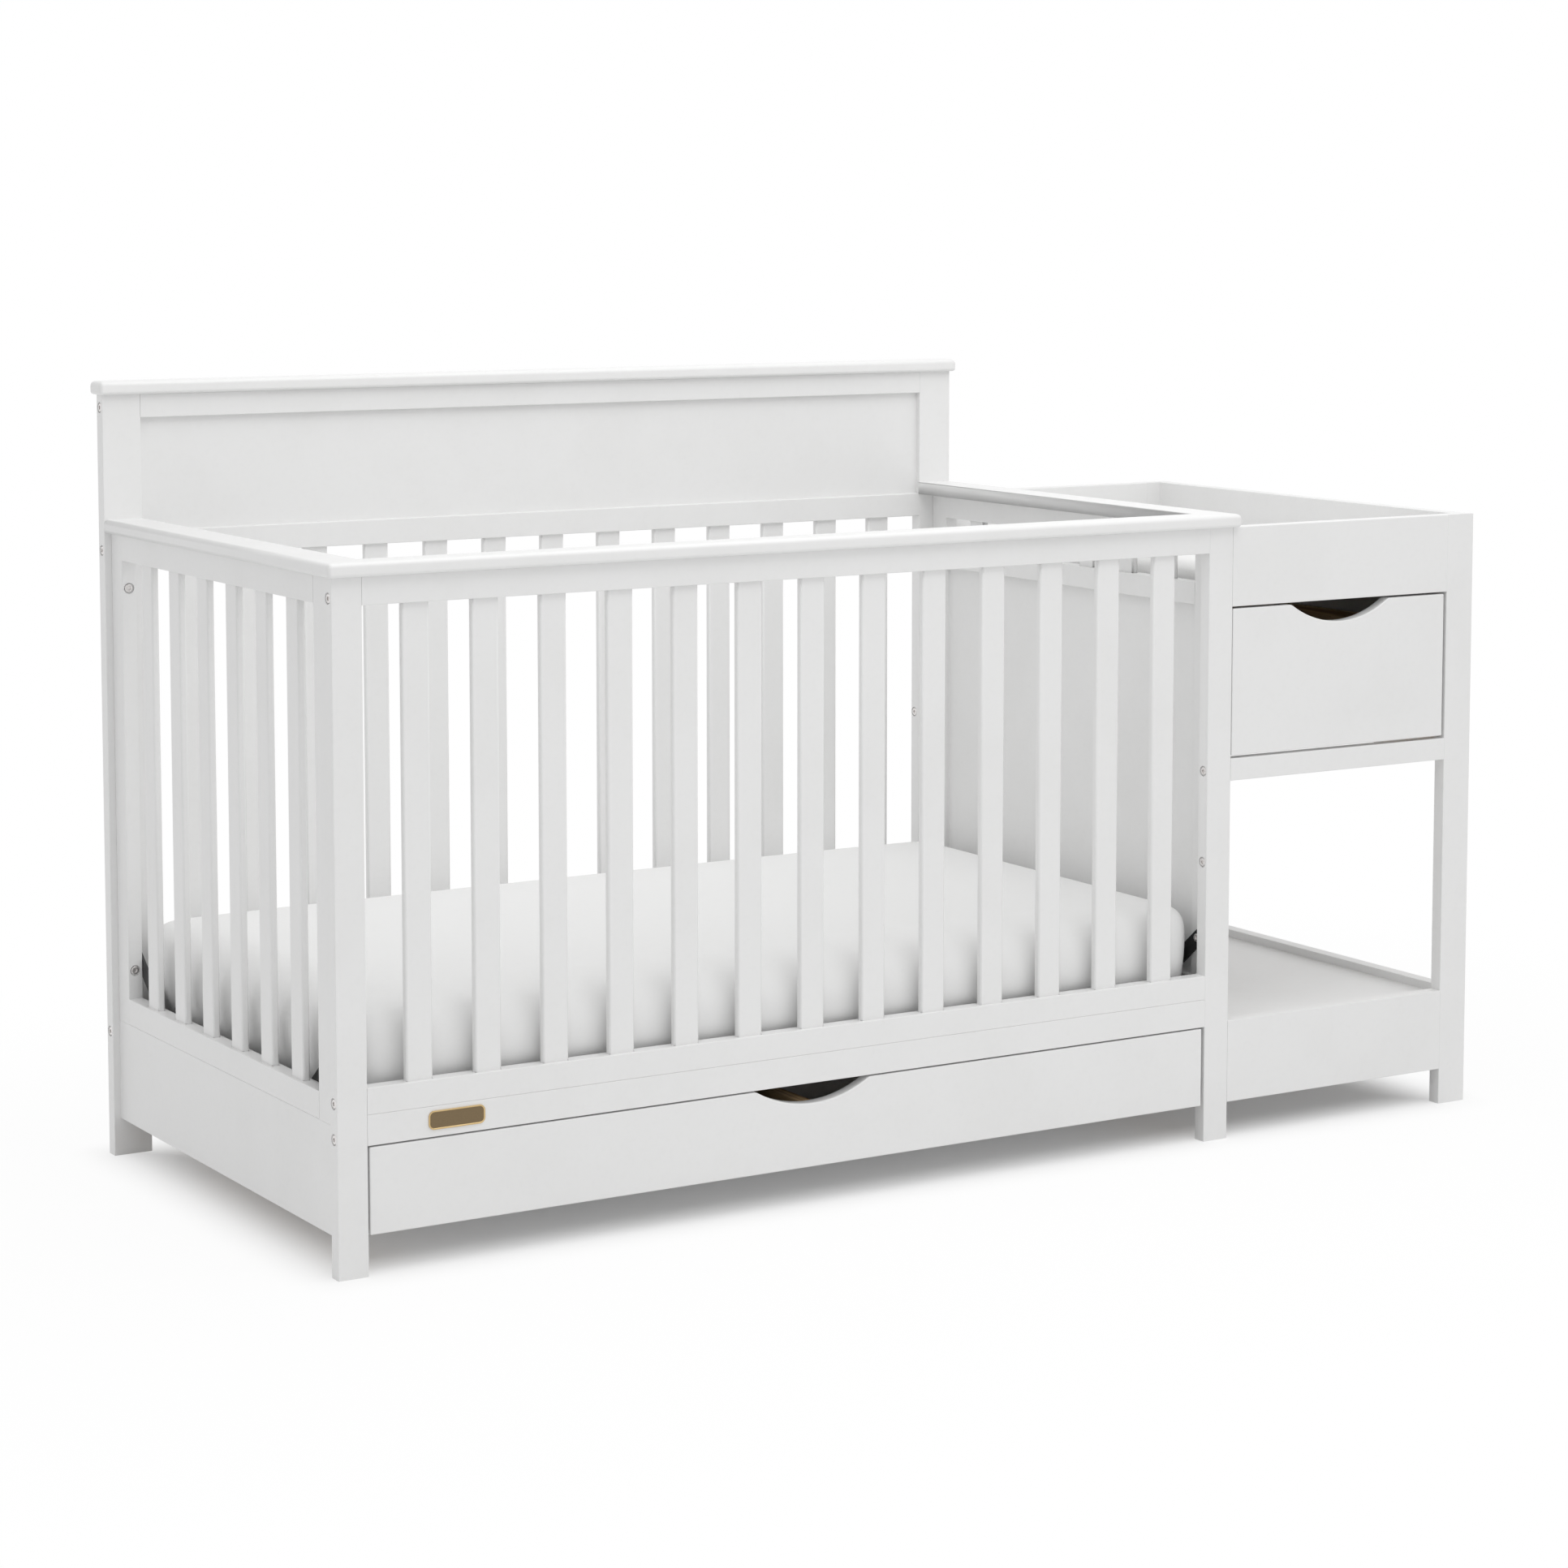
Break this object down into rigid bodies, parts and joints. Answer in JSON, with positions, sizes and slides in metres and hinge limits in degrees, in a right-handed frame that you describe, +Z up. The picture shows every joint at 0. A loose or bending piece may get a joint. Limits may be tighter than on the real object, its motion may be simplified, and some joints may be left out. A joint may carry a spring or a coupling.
{
  "type": "crib with attached changer",
  "caption": "Slatted crib with a raised headboard, a pull-out drawer below, and a changer at one end with a padded tray, a drawer and an open shelf.",
  "frame": {"origin": "middle of the footprint of the whole object, on the floor", "axes": "+X along the crib towards the changer, +Y from the slatted front to the headboard, +Z up"},
  "size_m": [1.83, 0.7656, 1.0775],
  "materials": {
    "white_paint": "satin white lacquer on wood",
    "natural_wood": "clear-sealed wood",
    "black_steel": "black powder coat",
    "bolt_steel": "zinc-plated",
    "zinc_steel": "zinc-plated sheet",
    "nylon": "moulded nylon",
    "mattress_fabric": "white knit ticking",
    "pad_vinyl": "white wipe-clean cover"
  },
  "bodies": {
    "carcass": {"headboard_left_leg": "white_paint", "headboard_right_leg": "white_paint", "headboard_cap": "white_paint", "headboard_top_rail": "white_paint", "headboard_panel": "white_paint", "headboard_mid_rail": "white_paint", "headboard_slats": "white_paint", "headboard_bottom_rail": "white_paint", "front_left_leg": "white_paint", "shared_front_post": "white_paint", "front_cap": "white_paint", "front_top_rail": "white_paint", "front_slats": "white_paint", "front_bottom_rail": "white_paint", "front_lower_rail": "white_paint", "left_cap": "white_paint", "left_top_rail": "white_paint", "left_stiles": "white_paint", "left_slats": "white_paint", "left_bottom_rail": "white_paint", "left_apron": "white_paint", "right_cap": "white_paint", "right_top_rail": "white_paint", "right_stiles": "white_paint", "right_short_slats": "white_paint", "right_mid_rail": "white_paint", "right_panel": "white_paint", "right_bottom_rail": "white_paint", "right_apron": "white_paint", "changer_front_leg": "white_paint", "changer_rear_leg": "white_paint", "tray_front_board": "white_paint", "tray_side_panel": "white_paint", "changer_back_panel": "white_paint", "tray_floor": "white_paint", "changer_front_rail": "white_paint", "shelf_apron": "white_paint", "shelf_side_rail": "white_paint", "shelf_back_rail": "white_paint", "shelf_board": "white_paint", "wood_cleats": "natural_wood", "mattress_support": "black_steel", "support_straps": "black_steel", "frame_bolts": "bolt_steel", "fixed_runners": "zinc_steel"},
    "under_drawer": {"under_drawer_front": "white_paint", "under_drawer_box": "natural_wood", "under_drawer_floor": "white_paint", "under_drawer_divider": "natural_wood", "under_drawer_runners": "zinc_steel"},
    "changer_drawer": {"changer_drawer_front": "white_paint", "changer_drawer_box": "natural_wood", "changer_drawer_floor": "white_paint", "changer_drawer_runners": "zinc_steel"},
    "under_front_roller_pair": {"under_front_rollers": "nylon"},
    "under_rear_roller_pair": {"under_rear_rollers": "nylon"},
    "changer_front_roller_pair": {"changer_front_rollers": "nylon"},
    "changer_rear_roller_pair": {"changer_rear_rollers": "nylon"},
    "mattress_body": {"mattress": "mattress_fabric"},
    "pad_body": {"changing_pad": "pad_vinyl"}
  },
  "joints": [
    {"name": "under_drawer_slide", "type": "slide", "parent": "carcass", "child": "under_drawer", "axis": [0, -1, 0], "range_m": [0, 0.38]},
    {"name": "changer_drawer_slide", "type": "slide", "parent": "carcass", "child": "changer_drawer", "axis": [0, -1, 0], "range_m": [0, 0.33]},
    {"name": "under_front_roller_spin", "type": "hinge", "parent": "carcass", "child": "under_front_roller_pair", "pos_m": [-0.8547, -0.337, 0.0822], "axis": [1, 0, 0], "continuous": true},
    {"name": "under_rear_roller_spin", "type": "hinge", "parent": "under_drawer", "child": "under_rear_roller_pair", "pos_m": [-0.8547, 0.1725, 0.08], "axis": [1, 0, 0], "continuous": true},
    {"name": "changer_front_roller_spin", "type": "hinge", "parent": "carcass", "child": "changer_front_roller_pair", "pos_m": [0.4793, -0.337, 0.5812], "axis": [1, 0, 0], "continuous": true},
    {"name": "changer_rear_roller_spin", "type": "hinge", "parent": "changer_drawer", "child": "changer_rear_roller_pair", "pos_m": [0.4793, 0.0825, 0.579], "axis": [1, 0, 0], "continuous": true},
    {"name": "mattress_lift", "type": "slide", "parent": "carcass", "child": "mattress_body", "axis": [0, 0, 1], "range_m": [0, 0.5]},
    {"name": "changing_pad_lift", "type": "slide", "parent": "carcass", "child": "pad_body", "axis": [0, 0, 1], "range_m": [0, 0.2]}
  ],
  "couplings": [
    {"joint": "under_front_roller_spin", "follows": "under_drawer_slide", "rad_per_m": 111.11},
    {"joint": "under_rear_roller_spin", "follows": "under_drawer_slide", "rad_per_m": 111.11},
    {"joint": "changer_front_roller_spin", "follows": "changer_drawer_slide", "rad_per_m": 111.11},
    {"joint": "changer_rear_roller_spin", "follows": "changer_drawer_slide", "rad_per_m": 111.11}
  ]
}
